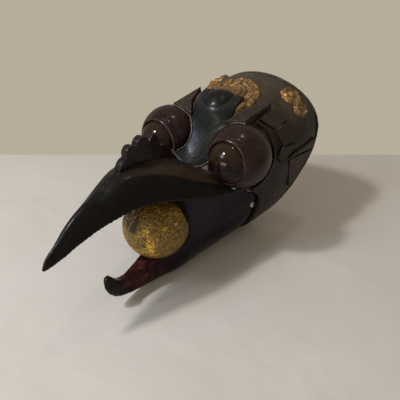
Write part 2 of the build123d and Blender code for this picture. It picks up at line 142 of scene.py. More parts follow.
def remeshed(node, name, voxel, rounds):
    """Even, closed copy of a CAD node with its edges slightly rounded."""
    piece = link(name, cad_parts[node].data.copy())
    piece.data.materials.clear()
    remesh = piece.modifiers.new("remesh", "REMESH")
    remesh.mode = "VOXEL"
    remesh.voxel_size = voxel
    remesh.use_smooth_shade = True
    smooth = piece.modifiers.new("smooth", "SMOOTH")
    smooth.factor = 0.5
    smooth.iterations = rounds
    apply_modifiers(piece)
    return piece


def displaced(piece, shift):
    """Moves each vertex along its normal by shift(position, normal)."""
    mesh = piece.data
    moves = [shift(v.co, v.normal) for v in mesh.vertices]
    normals = [v.normal.copy() for v in mesh.vertices]
    for vertex, normal, move in zip(mesh.vertices, normals, moves):
        vertex.co = vertex.co + normal * move
    mesh.update()
    shade_smooth(piece)
    return piece


def ripple(position, size, seed):
    """Smooth noise from -1 to 1 with features of about the given size."""
    return noise.noise(position / size + Vector((seed, seed * 2.7, seed * 5.1)))


def carved(node, name, voxel, rounds, depth, size, seed):
    """Remeshed copy of a node with shallow tool marks all over."""
    piece = remeshed(node, name, voxel, rounds)

    def marks(position, _normal):
        return depth * ripple(position, size, seed) + 0.4 * depth * ripple(position, size / 3, seed + 4)

    return displaced(piece, marks)


def finish_piece(piece, body, slot, material, *nodes):
    """Gives a piece its material and body, and the CAD nodes that it stands for; slot is not used."""
    if material is not None:
        piece.data.materials.clear()
        piece.data.materials.append(material)
    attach(piece, body)
    if nodes:
        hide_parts(*nodes)
    return piece


def surface_tree(nodes):
    """Search tree over the CAD meshes of some nodes."""
    points = []
    faces = []
    for node in nodes:
        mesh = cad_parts[node].data
        start = len(points)
        points.extend(v.co.copy() for v in mesh.vertices)
        faces.extend([start + i for i in polygon.vertices] for polygon in mesh.polygons)
    return BVHTree.FromPolygons(points, faces)


def grid_mesh(name, rows, columns, place, closed=False):
    """Mesh from a grid of points; closed joins the last column to the first."""
    mesh = bpy.data.meshes.new(name)
    points = [place(r, c) for r in range(rows) for c in range(columns)]
    faces = []
    last = columns if closed else columns - 1
    for r in range(rows - 1):
        for c in range(last):
            d = (c + 1) % columns
            faces.append((r * columns + c, r * columns + d, (r + 1) * columns + d, (r + 1) * columns + c))
    mesh.from_pydata(points, [], faces)
    mesh.update()
    return mesh


def recalculated(mesh):
    """Turns the faces of a closed mesh outwards and joins doubled points."""
    work = bmesh.new()
    work.from_mesh(mesh)
    bmesh.ops.remove_doubles(work, verts=work.verts, dist=1e-6)
    bmesh.ops.recalc_face_normals(work, faces=work.faces)
    work.to_mesh(mesh)
    work.free()
    return mesh


def tube(name, points, radius, sides=10):
    """Round bead along a list of points, with closed ends."""
    curve = bpy.data.curves.new(name, "CURVE")
    curve.dimensions = "3D"
    curve.bevel_depth = radius
    curve.bevel_resolution = sides // 4
    curve.use_fill_caps = True
    spline = curve.splines.new("NURBS")
    spline.points.add(len(points) - 1)
    for target, point in zip(spline.points, points):
        target.co = (*point, 1)
    spline.order_u = 3
    spline.use_endpoint_u = True
    holder = link(name + "_curve", curve)
    graph = bpy.context.evaluated_depsgraph_get()
    mesh = bpy.data.meshes.new_from_object(holder.evaluated_get(graph))
    bpy.data.objects.remove(holder)
    piece = link(name, recalculated(mesh))
    shade_smooth(piece)
    return piece


# ---- material helpers ----
class Paint:
    """A node material under construction."""

    def __init__(self, name):
        self.material = bpy.data.materials.new(name)
        self.material.use_nodes = True
        self.tree = self.material.node_tree
        self.shader = self.tree.nodes["Principled BSDF"]
        self.coordinates = self.tree.nodes.new("ShaderNodeTexCoord").outputs["Object"]

    def node(self, kind, values=None, **settings):
        """New shader node; each value is a number, a colour or another node's output."""
        made = self.tree.nodes.new(kind)
        for key, value in settings.items():
            setattr(made, key, value)
        for socket, value in (values or {}).items():
            if hasattr(value, "is_output"):
                self.tree.links.new(value, made.inputs[socket])
            else:
                made.inputs[socket].default_value = value
        return made

    def stretched(self, x, y, z):
        """Object coordinates scaled along each axis."""
        return self.node("ShaderNodeMapping", {"Vector": self.coordinates, "Scale": (x, y, z)}).outputs[0]

    def noise(self, scale, detail=4.0, rough=0.55, distortion=0.0, at=None):
        """Smooth random value, mostly between 0.3 and 0.7."""
        values = {"Vector": at or self.coordinates, "Scale": scale, "Detail": detail, "Roughness": rough,
                  "Distortion": distortion}
        return self.node("ShaderNodeTexNoise", values).outputs["Fac"]

    def cells(self, scale):
        """Distance to the middle of the nearest grain."""
        values = {"Vector": self.coordinates, "Scale": scale}
        return self.node("ShaderNodeTexVoronoi", values).outputs["Distance"]

    def map_range(self, value, low, high, to_low=0.0, to_high=1.0):
        """Value carried from one range to another and held inside it."""
        values = {"Value": value, "From Min": low, "From Max": high, "To Min": to_low, "To Max": to_high}
        return self.node("ShaderNodeMapRange", values).outputs["Result"]

    def mix(self, factor, first, second):
        """Colour between two colours."""
        made = self.tree.nodes.new("ShaderNodeMix")
        made.data_type = "RGBA"
        for socket, value in ((made.inputs[0], factor), (made.inputs[6], first), (made.inputs[7], second)):
            if hasattr(value, "is_output"):
                self.tree.links.new(value, socket)
            else:
                socket.default_value = value if not isinstance(value, tuple) else (*value, 1.0)
        return made.outputs[2]

    def maths(self, operation, first, second):
        """Result of a sum, product or the like of two values."""
        return self.node("ShaderNodeMath", {0: first, 1: second}, operation=operation).outputs[0]

    def height(self, value, strength, distance, normal=None):
        """Surface normal bent by a height, on top of another normal where one is given."""
        values = {"Height": value, "Strength": strength, "Distance": distance}
        if normal is not None:
            values["Normal"] = normal
        return self.node("ShaderNodeBump", values).outputs["Normal"]

    def edge(self, low=0.52, high=0.62):
        """1 on convex edges of the mesh, 0 elsewhere."""
        pointy = self.node("ShaderNodeNewGeometry").outputs["Pointiness"]
        return self.map_range(pointy, low, high)

    def crease(self, low=0.49, high=0.42):
        """1 in hollows of the mesh, 0 elsewhere."""
        pointy = self.node("ShaderNodeNewGeometry").outputs["Pointiness"]
        return self.map_range(pointy, low, high)

    def along(self, axis, low, high):
        """0 to 1 between two places on an axis."""
        place = self.node("ShaderNodeSeparateXYZ", {0: self.coordinates}).outputs[axis]
        return self.map_range(place, low, high)

    def facing_up(self, low, high):
        """0 to 1 as the surface turns from upright to level."""
        normal = self.node("ShaderNodeNewGeometry").outputs["Normal"]
        return self.map_range(self.node("ShaderNodeSeparateXYZ", {0: normal}).outputs["Z"], low, high)

    def drive(self, socket, value):
        """Feeds one of the shader's inputs from a node."""
        self.tree.links.new(value, self.shader.inputs[socket])

    def base_colour(self):
        """What feeds the shader's colour so far."""
        return self.shader.inputs["Base Color"].links[0].from_socket

    def fixed(self, **values):
        """Sets uniform values on the shader's own inputs."""
        for key, value in values.items():
            self.shader.inputs[key.replace("_", " ")].default_value = value


def lacquer(name, dark, light, rough, coat, edge_colour, grain, blotch=28, bump=0.25, gloss=0.16):
    """Hand-brushed lacquer: soft blotches, fine brush lines, and convex edges lightened partly as rubbed
    paint and partly as a painted edge highlight.
    """
    paint = Paint(name)
    patches = paint.noise(blotch, 5.0, 0.6, 0.9)
    lines = paint.noise(1.0, 5.0, 0.65, 0.3, at=paint.stretched(*grain))
    tone = paint.map_range(paint.maths("ADD", patches, paint.maths("MULTIPLY", lines, 0.7)), 0.6, 1.15)
    colour = paint.mix(tone, dark, light)
    # Convex edges are lightened to edge_colour: partly rubbed paint, partly a painted highlight along the
    # edges.
    edge_patches = paint.map_range(paint.noise(160, 6.0, 0.7), 0.42, 0.62)
    worn_and_lit_edge = paint.maths("MULTIPLY", paint.edge(), edge_patches)
    paint.drive("Base Color", paint.mix(worn_and_lit_edge, colour, edge_colour))
    paint.drive("Roughness", paint.map_range(lines, 0.25, 0.75, rough - 0.1, rough + 0.12))
    fine = paint.height(lines, bump, 0.0006)
    paint.drive("Normal", paint.height(paint.noise(90, 3.0), 0.10, 0.0012, fine))
    paint.fixed(Coat_Weight=coat, Coat_Roughness=0.12, Specular_IOR_Level=gloss)
    return paint


def make_shell_lacquer():
    """Olive brown on the crown, with painted shade darkening it down the temples."""
    paint = lacquer("shell_lacquer", (0.024, 0.018, 0.011), (0.066, 0.052, 0.036), 0.45, 0.06,
                    (0.12, 0.10, 0.07), grain=(45, 500, 500))
    base = paint.base_colour()
    # Painted shade: below the crown, which catches the window's sheen, the colour darkens to nearly black
    # down the temples.
    low = paint.mix(paint.noise(60, 5.0), (0.005, 0.0035, 0.003), (0.020, 0.013, 0.010))
    paint.drive("Base Color", paint.mix(paint.along("Z", 0.190, 0.160), base, low))
    return paint.material


def make_beak_lacquer():
    """Nearly black, with painted sheen: its upward-facing surfaces near the brow are lightened to brown."""
    paint = lacquer("beak_lacquer", (0.0020, 0.0018, 0.0014), (0.007, 0.0055, 0.004), 0.38, 0.06,
                    (0.07, 0.06, 0.05), grain=(420, 30, 420), gloss=0.12)
    base = paint.base_colour()
    # Painted sheen: surfaces that face up, near the beak's root, are made lighter and browner.
    bevel = paint.maths("MULTIPLY", paint.facing_up(0.55, 0.85), paint.along("Y", -0.12, -0.05))
    brown = paint.mix(paint.noise(45, 4.0), (0.014, 0.010, 0.006), (0.046, 0.028, 0.016))
    paint.drive("Base Color", paint.mix(bevel, base, brown))
    return paint.material


def make_crest_lacquer():
    """Nearly black, with a trace of red."""
    return lacquer("crest_lacquer", (0.007, 0.003, 0.004), (0.016, 0.008, 0.009), 0.36, 0.12,
                   (0.10, 0.09, 0.12), grain=(300, 300, 60)).material


def make_nose_lacquer():
    """Nearly black teal, with a painted bluish window reflection on the -X flank."""
    paint = lacquer("nose_lacquer", (0.006, 0.007, 0.006), (0.015, 0.015, 0.012), 0.36, 0.05,
                    (0.12, 0.14, 0.15), grain=(300, 300, 50), bump=0.10, gloss=0.13)
    base = paint.base_colour()
    # Painted reflection: the -X flank is tinted towards the window's blue.
    paint.drive("Base Color", paint.mix(paint.along("X", 0.004, -0.012), base, (0.010, 0.013, 0.015)))
    return paint.material


def make_boss_lacquer():
    """Nearly black, for the dome on the forehead."""
    return lacquer("boss_lacquer", (0.003, 0.003, 0.0025), (0.009, 0.008, 0.006), 0.36, 0.05,
                   (0.10, 0.08, 0.07), grain=(200, 200, 200), bump=0.12).material


def make_hood_lacquer():
    """Dark red brown, glossier than the rest of the mask."""
    return lacquer("hood_lacquer", (0.008, 0.002, 0.0035), (0.028, 0.014, 0.009), 0.27, 0.16,
                   (0.14, 0.10, 0.09), grain=(260, 40, 260), blotch=40, bump=0.10).material


def make_rim_lacquer():
    """Light brown of the beads round the hoods and under the nose bridge: partly rubbed paint, partly a
    painted highlight along these edges.
    """
    # Painted highlight: the beads are much lighter than the lacquer beside them, as well as rubbed.
    return lacquer("rim_lacquer", (0.040, 0.032, 0.026), (0.120, 0.095, 0.075), 0.34, 0.2,
                   (0.20, 0.17, 0.14), grain=(300, 300, 300), bump=0.15).material


def make_plate_walnut():
    """Dull dark brown with strong grain, for the leaves and plates beside the eyes."""
    return lacquer("plate_walnut", (0.013, 0.009, 0.006), (0.042, 0.029, 0.020), 0.48, 0.05,
                   (0.20, 0.16, 0.13), grain=(700, 50, 700), blotch=60, bump=0.4).material


def make_jaw_lacquer():
    """Black at the hooked tip, maroon behind it, turning purple black on the back wall."""
    paint = lacquer("jaw_lacquer", (0.004, 0.002, 0.005), (0.010, 0.004, 0.011), 0.30, 0.05,
                    (0.07, 0.04, 0.06), grain=(90, 300, 90), bump=0.10, gloss=0.10)
    base = paint.base_colour()
    front = paint.along("Y", -0.035, -0.085)
    tip = paint.along("Y", -0.105, -0.125)
    mottles = paint.map_range(paint.noise(70, 5.0, 0.65), 0.45, 0.68)
    red = paint.mix(mottles, (0.014, 0.0025, 0.002), (0.10, 0.024, 0.016))
    warm = paint.mix(front, base, red)
    paint.drive("Base Color", paint.mix(tip, warm, (0.007, 0.004, 0.0045)))
    return paint.material


def make_gold(name, grain_depth, dull, bright, metal_share, flecks_and_shaded_base=False):
    """Gold leaf, darkened in its hollows; on the ball, dark flecks over its top on the -X side, and painted
    shade dimming its base.
    """
    paint = Paint(name)
    patches = paint.noise(45, 6.0, 0.65, 0.8)
    grains = paint.cells(420)
    tarnish = paint.map_range(paint.noise(22, 6.0, 0.62, 1.2), 0.52, 0.65, 1.0, 0.0)
    metal = paint.mix(paint.map_range(patches, 0.35, 0.65), dull, bright)
    speck = paint.map_range(grains, 0.35, 0.75)
    metal = paint.mix(speck, metal, (0.26, 0.12, 0.015))
    creases = paint.map_range(paint.noise(130, 5.0, 0.7, 2.5), 0.54, 0.62)
    metal = paint.mix(creases, metal, (0.24, 0.11, 0.015))
    dulled = paint.maths("MAXIMUM", paint.crease(0.495, 0.462), paint.maths("MULTIPLY", tarnish, 0.75))
    if flecks_and_shaded_base:
        flecks = paint.map_range(paint.noise(110, 6.0, 0.7, 1.0), 0.42, 0.47)
        place = paint.maths("MULTIPLY", paint.along("X", 0.018, 0.004), paint.along("Z", 0.080, 0.092))
        dulled = paint.maths("MAXIMUM", dulled, paint.maths("MULTIPLY", flecks, place))
        # Painted shade: the ball's lower part turns a darker ochre.
        metal = paint.mix(paint.along("Z", 0.072, 0.050), metal, (0.20, 0.085, 0.015))
    paint.drive("Base Color", paint.mix(dulled, metal, (0.030, 0.014, 0.006)))
    paint.drive("Roughness", paint.map_range(dulled, 0.0, 1.0, 0.34, 0.62))
    paint.drive("Metallic", paint.map_range(dulled, 0.2, 1.0, metal_share, 0.1))
    coarse = paint.height(grains, grain_depth, 0.0010)
    paint.drive("Normal", paint.height(paint.noise(700, 4.0), 0.25, 0.0005, coarse))
    return paint.material


def make_lens_glass():
    """Polished dark amethyst, with painted brown reflections in swirls and over its upper part."""
    paint = Paint("lens_amethyst")
    # Painted reflection: swirls of brown in the purple, and brown over the lens's top.
    swirl = paint.map_range(paint.noise(55, 4.0, 0.6, 2.2), 0.42, 0.60)
    low = paint.mix(swirl, (0.003, 0.001, 0.004), (0.020, 0.008, 0.005))
    paint.drive("Base Color", paint.mix(paint.along("Z", 0.155, 0.183), low, (0.022, 0.013, 0.008)))
    paint.drive("Roughness", paint.map_range(paint.noise(900, 3.0), 0.3, 0.7, 0.05, 0.10))
    paint.drive("Normal", paint.height(paint.noise(60, 2.0), 0.06, 0.001))
    paint.fixed(Coat_Weight=0.18, Coat_Roughness=0.02, Specular_IOR_Level=0.12, IOR=1.45)
    return paint.material


def make_steel():
    """Brushed steel with fine lines round the mask."""
    paint = Paint("brushed_steel")
    lines = paint.noise(1.0, 4.0, 0.6, 0.0, at=paint.stretched(200, 2500, 2500))
    paint.drive("Base Color", paint.mix(lines, (0.36, 0.36, 0.37), (0.60, 0.59, 0.57)))
    paint.drive("Roughness", paint.map_range(lines, 0.2, 0.8, 0.24, 0.44))
    paint.drive("Normal", paint.height(lines, 0.2, 0.0002))
    paint.fixed(Metallic=1.0)
    return paint.material


def make_plain(name, dark, light, rough, scale, bump, metallic=0.0):
    """Plain material with a fine mottled grain."""
    paint = Paint(name)
    grain = paint.noise(scale, 6.0, 0.7)
    paint.drive("Base Color", paint.mix(grain, dark, light))
    paint.drive("Roughness", paint.map_range(grain, 0.3, 0.7, rough - 0.08, rough + 0.08))
    paint.drive("Normal", paint.height(grain, bump, 0.0008))
    paint.fixed(Metallic=metallic)
    return paint.material


def make_leather():
    """Oiled strap leather with pores and dark edges."""
    paint = Paint("strap_leather")
    pores = paint.cells(900)
    folds = paint.noise(140, 5.0, 0.6)
    tone = paint.mix(folds, (0.030, 0.016, 0.010), (0.085, 0.048, 0.028))
    paint.drive("Base Color", paint.mix(paint.edge(0.53, 0.6), tone, (0.16, 0.10, 0.065)))
    paint.drive("Roughness", paint.map_range(folds, 0.3, 0.7, 0.42, 0.62))
    paint.drive("Normal", paint.height(pores, 0.35, 0.0005, paint.height(folds, 0.3, 0.001)))
    return paint.material


def make_floor_cloth():
    """Pale woven cover with soft unevenness."""
    paint = Paint("floor_cloth")
    weave = paint.noise(1400, 3.0, 0.6)
    soft = paint.noise(6, 3.0, 0.5, 0.4)
    paint.drive("Base Color", paint.mix(soft, (0.46, 0.44, 0.405), (0.52, 0.505, 0.475)))
    paint.drive("Normal", paint.height(weave, 0.2, 0.0005, paint.height(soft, 0.35, 0.02)))
    paint.fixed(Roughness=0.92)
    return paint.material


SHELL = make_shell_lacquer()
BEAK = make_beak_lacquer()
CREST = make_crest_lacquer()
NOSE = make_nose_lacquer()
BOSS = make_boss_lacquer()
HOOD = make_hood_lacquer()
RIM = make_rim_lacquer()
PLATE = make_plate_walnut()
JAW_PAINT = make_jaw_lacquer()
GOLD = make_gold("gold_leaf", 0.12, (0.62, 0.27, 0.05), (1.0, 0.68, 0.26), 0.65)
BALL_GOLD = make_gold("ball_gold", 0.6, (0.85, 0.46, 0.04), (1.0, 0.80, 0.13), 0.35, flecks_and_shaded_base=True)
LENS = make_lens_glass()
STEEL = make_steel()
LEATHER = make_leather()
INSIDE = make_plain("inside_paper", (0.020, 0.017, 0.014), (0.060, 0.050, 0.040), 0.8, 130, 0.6)
FELT = make_plain("wool_felt", (0.020, 0.018, 0.018), (0.060, 0.055, 0.053), 0.9, 900, 0.8)
NYLON = make_plain("washer_nylon", (0.55, 0.54, 0.49), (0.70, 0.69, 0.64), 0.45, 500, 0.15)
RUBBER = make_plain("retainer_plastic", (0.012, 0.012, 0.012), (0.030, 0.030, 0.030), 0.55, 600, 0.2)
BEECH = make_plain("dowel_wood", (0.32, 0.21, 0.12), (0.50, 0.36, 0.22), 0.6, 260, 0.3)
BRASS = make_plain("rivet_brass", (0.55, 0.36, 0.12), (0.75, 0.55, 0.24), 0.35, 500, 0.15, metallic=1.0)
THREAD = make_plain("waxed_thread", (0.30, 0.22, 0.13), (0.48, 0.38, 0.25), 0.6, 1500, 0.3)


# ---- stage ----
def make_camera():
    """Camera in front of the mask, above it and on its +X side."""
    direction = CAMERA_DIRECTION.normalized()
    data = bpy.data.cameras.new("camera")
    data.lens = CAMERA_LENS
    data.sensor_width = 36
    data.clip_start = 0.01
    camera = bpy.data.objects.new("camera", data)
    camera.location = CAMERA_TARGET + direction * CAMERA_DISTANCE
    camera.rotation_euler = (-direction).to_track_quat("-Z", "Y").to_euler()
    bpy.context.scene.collection.objects.link(camera)
    bpy.context.scene.camera = camera


def make_area(name, direction, distance, width, height, watts, colour):
    """Rectangular lamp that faces the mask from a direction."""
    data = bpy.data.lights.new(name, "AREA")
    data.shape = "RECTANGLE"
    data.size = width
    data.size_y = height
    data.energy = watts
    data.color = colour
    lamp = bpy.data.objects.new(name, data)
    aim = direction.normalized()
    lamp.location = CAMERA_TARGET + aim * distance
    lamp.rotation_euler = (-aim).to_track_quat("-Z", "Y").to_euler()
    bpy.context.scene.collection.objects.link(lamp)


def make_surround():
    """Cream wall to look at, with a dimmer room for the light that it sheds and the gloss it leaves."""
    world = bpy.data.worlds.new("surround")
    world.use_nodes = True
    tree = world.node_tree
    rays = tree.nodes.new("ShaderNodeLightPath")
    seen = tree.nodes["Background"]
    seen.inputs["Color"].default_value = (0.47, 0.425, 0.33, 1)
    room = tree.nodes.new("ShaderNodeBackground")
    room.inputs["Color"].default_value = (0.42, 0.36, 0.285, 1)
    gloss = tree.nodes.new("ShaderNodeBackground")
    gloss.inputs["Color"].default_value = (0.32, 0.285, 0.235, 1)
    indoors = tree.nodes.new("ShaderNodeMixShader")
    tree.links.new(rays.outputs["Is Glossy Ray"], indoors.inputs[0])
    tree.links.new(room.outputs[0], indoors.inputs[1])
    tree.links.new(gloss.outputs[0], indoors.inputs[2])
    whole = tree.nodes.new("ShaderNodeMixShader")
    tree.links.new(rays.outputs["Is Camera Ray"], whole.inputs[0])
    tree.links.new(indoors.outputs[0], whole.inputs[1])
    tree.links.new(seen.outputs[0], whole.inputs[2])
    tree.links.new(whole.outputs[0], tree.nodes["World Output"].inputs["Surface"])
    return world


def make_stage():
    """Pale floor that ends a little behind the mask, seen against a plain cream surround."""
    forward = CAMERA_DIRECTION.copy()
    forward.z = 0
    forward.normalize()
    side = Vector((-forward.y, forward.x, 0)) * FLOOR_HALF_WIDTH
    far = forward * -FLOOR_BEHIND
    near = forward * FLOOR_FRONT
    corners = [far + side, far - side, near - side, near + side]
    mesh = bpy.data.meshes.new("floor")
    mesh.from_pydata(corners, [], [(0, 1, 2, 3)])
    floor = link("floor", mesh)
    mesh.materials.append(make_floor_cloth())
    bpy.context.scene.world = make_surround()
    bpy.context.scene.view_settings.view_transform = "Standard"


make_camera()
make_stage()
for lamp_name, lamp_values in LAMPS.items():
    make_area(lamp_name, *lamp_values)


# ---- carved head ----
head_surface = surface_tree(["face_shell"])


def make_shell():
    """Brushed papier mache shell; its inside is a second, rougher material."""
    piece = carved("face_shell", "face_shell_carved", 1.7 * MM, 8, 0.35 * MM, 14 * MM, 1)
    mesh = piece.data
    mesh.materials.append(SHELL)
    mesh.materials.append(INSIDE)
    for polygon in mesh.polygons:
        inward = HEAD_MIDDLE - polygon.center
        if polygon.normal.dot(inward) > 0.1 * inward.length:
            polygon.material_index = 1
    finish_piece(piece, HEAD, "shell_lacquer", None, "face_shell")


def make_carved_pieces():
    """Pieces whose CAD shape is right: an even mesh, rounded edges and tool marks."""
    # node, voxel in mm, rounds of smoothing, depth and size of the marks in mm, material, slot, body
    table = [
        ("rear_rim_binding", 1.2, 4, 0.15, 9, SHELL, "shell_lacquer", HEAD),
        ("upper_beak", 1.3, 5, 0.30, 16, BEAK, "beak_lacquer", HEAD),
        ("beak_crest", 0.7, 5, 0.25, 6, CREST, "crest_lacquer", HEAD),
        ("nose_bridge", 0.8, 5, 0.25, 11, NOSE, "nose_lacquer", HEAD),
        ("forehead_boss", 0.8, 4, 0.20, 7, BOSS, "boss_lacquer", HEAD),
        ("lower_jaw", 1.4, 6, 0.30, 15, JAW_PAINT, "jaw_lacquer", JAW),
    ]
    for side, _ in SIDES:
        table.append(("socket_ring_" + side, 0.7, 3, 0.1, 8, HOOD, "hood_lacquer", HEAD))
        for plate in ("brow_leaf", "temple_plate_upper", "temple_plate_middle", "temple_plate_lower",
                      "cheek_bar", "cheek_plate"):
            table.append((plate + "_" + side, 0.6, 2, 0.15, 7, PLATE, "plate_walnut", HEAD))
    for seed, (node, voxel, rounds, depth, size, material, slot, body) in enumerate(table):
        piece = carved(node, node + "_carved", voxel * MM, rounds, depth * MM, size * MM, seed + 2)
        finish_piece(piece, body, slot, material, node)


# ---- eyes ----
def revolved(name, profile, side, columns=144):
    """Closed ring about an eye's axis. profile(angle) gives radius and y in order round the section."""
    sections = []
    for c in range(columns):
        sections.append(profile(2 * math.pi * c / columns))
    rows = len(sections[0])

    def place(r, c):
        angle = 2 * math.pi * c / columns
        radius, y = sections[c][r % rows]
        return (side * (EYE_X + radius * math.cos(angle)), y, EYE_Z + radius * math.sin(angle))

    mesh = grid_mesh(name, rows + 1, columns, place, closed=True)
    piece = link(name, recalculated(mesh))
    shade_smooth(piece)
    return piece


def smooth_step(value, low, high):
    """0 below low, 1 above high and a smooth rise between them."""
    t = min(1.0, max(0.0, (value - low) / (high - low)))
    return t * t * (3 - 2 * t)


def sphere_radius(radius, offset):
    """Radius of a sphere's section at an offset from its centre."""
    return math.sqrt(max(0.0, radius * radius - offset * offset))


def lid_strength(angle):
    """1 along the upper lid, 0 where the hood runs smoothly into the eye."""
    degrees = math.degrees(angle) % 360
    return smooth_step(degrees, 15, 55) * (1 - smooth_step(degrees, 205, 250))


def hood_profile(angle):
    """Section of the hood: outer sphere, raised lid with a groove, then the inside back to the start."""
    lid = lid_strength(angle)
    outer = []
    steps = 30
    for i in range(steps):
        y = HOOD_BACK_Y + (HOOD_LIP_Y - HOOD_BACK_Y) * i / (steps - 1)
        radius = sphere_radius(HOOD_RADIUS, y - EYE_Y)
        groove = math.exp(-((y - LID_GROOVE_Y) / (0.55 * MM)) ** 2)
        ridge = math.exp(-((y - LID_RIDGE_Y) / (1.5 * MM)) ** 2)
        outer.append((radius + lid * (0.55 * ridge - 0.6 * groove) * MM, y))
    lip = []
    for (r1, y1), (r0, y0) in zip(LID_EDGE, PLAIN_EDGE):
        lip.append(((lid * r1 + (1 - lid) * r0) * MM, (lid * y1 + (1 - lid) * y0) * MM))
    return outer + lip + [(r * MM, y * MM) for r, y in HOOD_INSIDE]


def lens_profile(_angle):
    """Section of the lens: dome, flange edge and the dome's inside."""
    steps = 36
    pole = 0.012    # the ring keeps a pinhole of this half angle on its axis
    section = []
    for i in range(steps):
        turn = pole + (math.radians(103) - pole) * i / (steps - 1)
        section.append((LENS_RADIUS * math.sin(turn), LENS_CENTRE_Y - LENS_RADIUS * math.cos(turn)))
    section += [(33.8 * MM, 38.2 * MM), (33.8 * MM, 39.8 * MM), (25.0 * MM, 39.8 * MM)]
    inside = LENS_RADIUS - LENS_WALL
    for i in range(12):
        turn = math.radians(95) * (1 - i / 11) + pole * i / 11
        section.append((inside * math.sin(turn), LENS_CENTRE_Y - inside * math.cos(turn)))
    return section


def make_eyes():
    """Hood and lens on each side."""
    for name, side in SIDES:
        hood = revolved("eye_hood_carved_" + name, hood_profile, side)
        displaced(hood, lambda p, n: 0.12 * MM * ripple(p, 9 * MM, 31))
        finish_piece(hood, HEAD, "hood_lacquer", HOOD, "eye_hood_" + name)
        lens = revolved("eye_dome_" + name, lens_profile, side)
        finish_piece(lens, HEAD, "lens_amethyst", LENS, "eye_lens_" + name)


def make_hood_rims():
    """Light bead where each hood comes out of the nose bridge and the brow."""
    touching = 1.1 * MM
    for name, side in SIDES:
        around = surface_tree(["nose_bridge", "brow_leaf_" + name])
        points = []
        for degrees in range(64, 212, 4):
            angle = math.radians(degrees)
            for step in range(90):
                y = HOOD_LIP_Y + step * 0.5 * MM
                radius = sphere_radius(HOOD_RADIUS + 0.3 * MM, y - EYE_Y)
                x = side * (EYE_X + radius * math.cos(angle))
                point = Vector((x, y, EYE_Z + radius * math.sin(angle)))
                if around.find_nearest(point, touching)[0] is not None:
                    points.append(point)
                    break
        rim = tube("hood_rim_" + name, points, RIM_BEAD)
        finish_piece(rim, HEAD, "hood_lacquer", RIM)


def make_nose_lip():
    """Rounded bead along the nose bridge's lower edge."""
    points = []
    for step in range(-20, 21):
        share = step / 20
        points.append(Vector((LIP_HALF_WIDTH * share, LIP_Y, LIP_LOW + LIP_RISE * share ** 2)))
    finish_piece(tube("nose_lip", points, LIP_BEAD), HEAD, "nose_lacquer", RIM)


# ---- gilded ornaments ----
def on_head(x, y):
    """Point of the head's upper surface above x and y, and its normal."""
    point, normal, _, _ = head_surface.ray_cast(Vector((x, y, 0.4)), Vector((0, 0, -1)))
    if normal.z < 0:
        normal = -normal
    return point, normal


def relief(name, rows, columns, ground, height, closed):
    """Carved ornament: a raised skin over points of the head, with its underside below the surface."""
    skin = []
    for r in range(rows):
        for c in range(columns):
            point, normal = ground(r, c)
            skin.append(point + normal * height(r, c))
    base = []
    for r in range(rows):
        for c in range(columns):
            point, normal = ground(r, c)
            base.append(point - normal * ORNAMENT_DEPTH)
    count = rows * columns
    faces = []
    last = columns if closed else columns - 1
    for r in range(rows - 1):
        for c in range(last):
            d = (c + 1) % columns
            quad = (r * columns + c, r * columns + d, (r + 1) * columns + d, (r + 1) * columns + c)
            faces.append(quad)
            faces.append(tuple(count + i for i in reversed(quad)))
    rim = [(rows - 1) * columns + c for c in range(columns)]
    if closed:
        for c in range(columns):
            a, b = rim[c], rim[(c + 1) % columns]
            faces.append((a, b, count + b, count + a))
            a, b = c, (c + 1) % columns
            faces.append((b, a, count + a, count + b))
    else:
        loop = list(range(columns))
        loop += [r * columns + columns - 1 for r in range(1, rows)]
        loop += [(rows - 1) * columns + c for c in range(columns - 2, -1, -1)]
        loop += [r * columns for r in range(rows - 2, 0, -1)]
        for a, b in zip(loop, loop[1:] + loop[:1]):
            faces.append((b, a, count + a, count + b))
    mesh = bpy.data.meshes.new(name)
    mesh.from_pydata(skin + base, [], faces)
    mesh.update()
    piece = link(name, recalculated(mesh))
    shade_smooth(piece)
    return piece


def make_wreath():
    """Horseshoe of overlapping curled leaves that run back along both arms and meet behind."""
    rows, columns = 420, 33
    leaves = 5
    start = math.radians(-44)
    sweep = math.radians(268)

    def leaf_of(r):
        s = r / (rows - 1)
        half = min(s, 1 - s) * 2
        phase = (half * leaves) % 1.0
        return s, half, phase

    def ground(r, c):
        s, half, phase = leaf_of(r)
        across = 2 * c / (columns - 1) - 1
        bulge = 0.72 + 0.34 * math.sin(math.pi * min(1.0, phase * 1.08)) ** 0.6
        ends = smooth_step(half, 0.0, 0.05)
        offset = LEAF_HALF_WIDTH * across * bulge * (0.35 + 0.65 * ends)
        angle = start + sweep * s
        x = (WREATH_HALF_X + offset) * math.cos(angle)
        y = WREATH_Y + (WREATH_HALF_Y + offset) * math.sin(angle)
        return on_head(x, y)

    def height(r, c):
        s, half, phase = leaf_of(r)
        across = 2 * c / (columns - 1) - 1
        edge = max(0.0, 1 - abs(across) ** 5)
        rise = 1.0 + 3.4 * phase ** 0.8 * (1 - smooth_step(phase, 0.92, 1.0))
        rib = -1.1 * math.exp(-(across / 0.08) ** 2)
        veins = 0.18 * math.sin(2 * math.pi * (2 * phase - 1.2 * abs(across)))
        curl = 1.2 * math.exp(-((abs(across) - 0.70) / 0.16) ** 2) * math.sin(math.pi * phase)
        grain = 0.10 * noise.noise(Vector((r * 0.2, c * 0.3, 3.0)))
        return (edge * (rise + rib + veins + curl + grain) - 0.4) * MM

    piece = relief("forehead_wreath_leaves", rows, columns, ground, height, False)
    finish_piece(piece, HEAD, "gold_leaf", GOLD, "forehead_wreath")


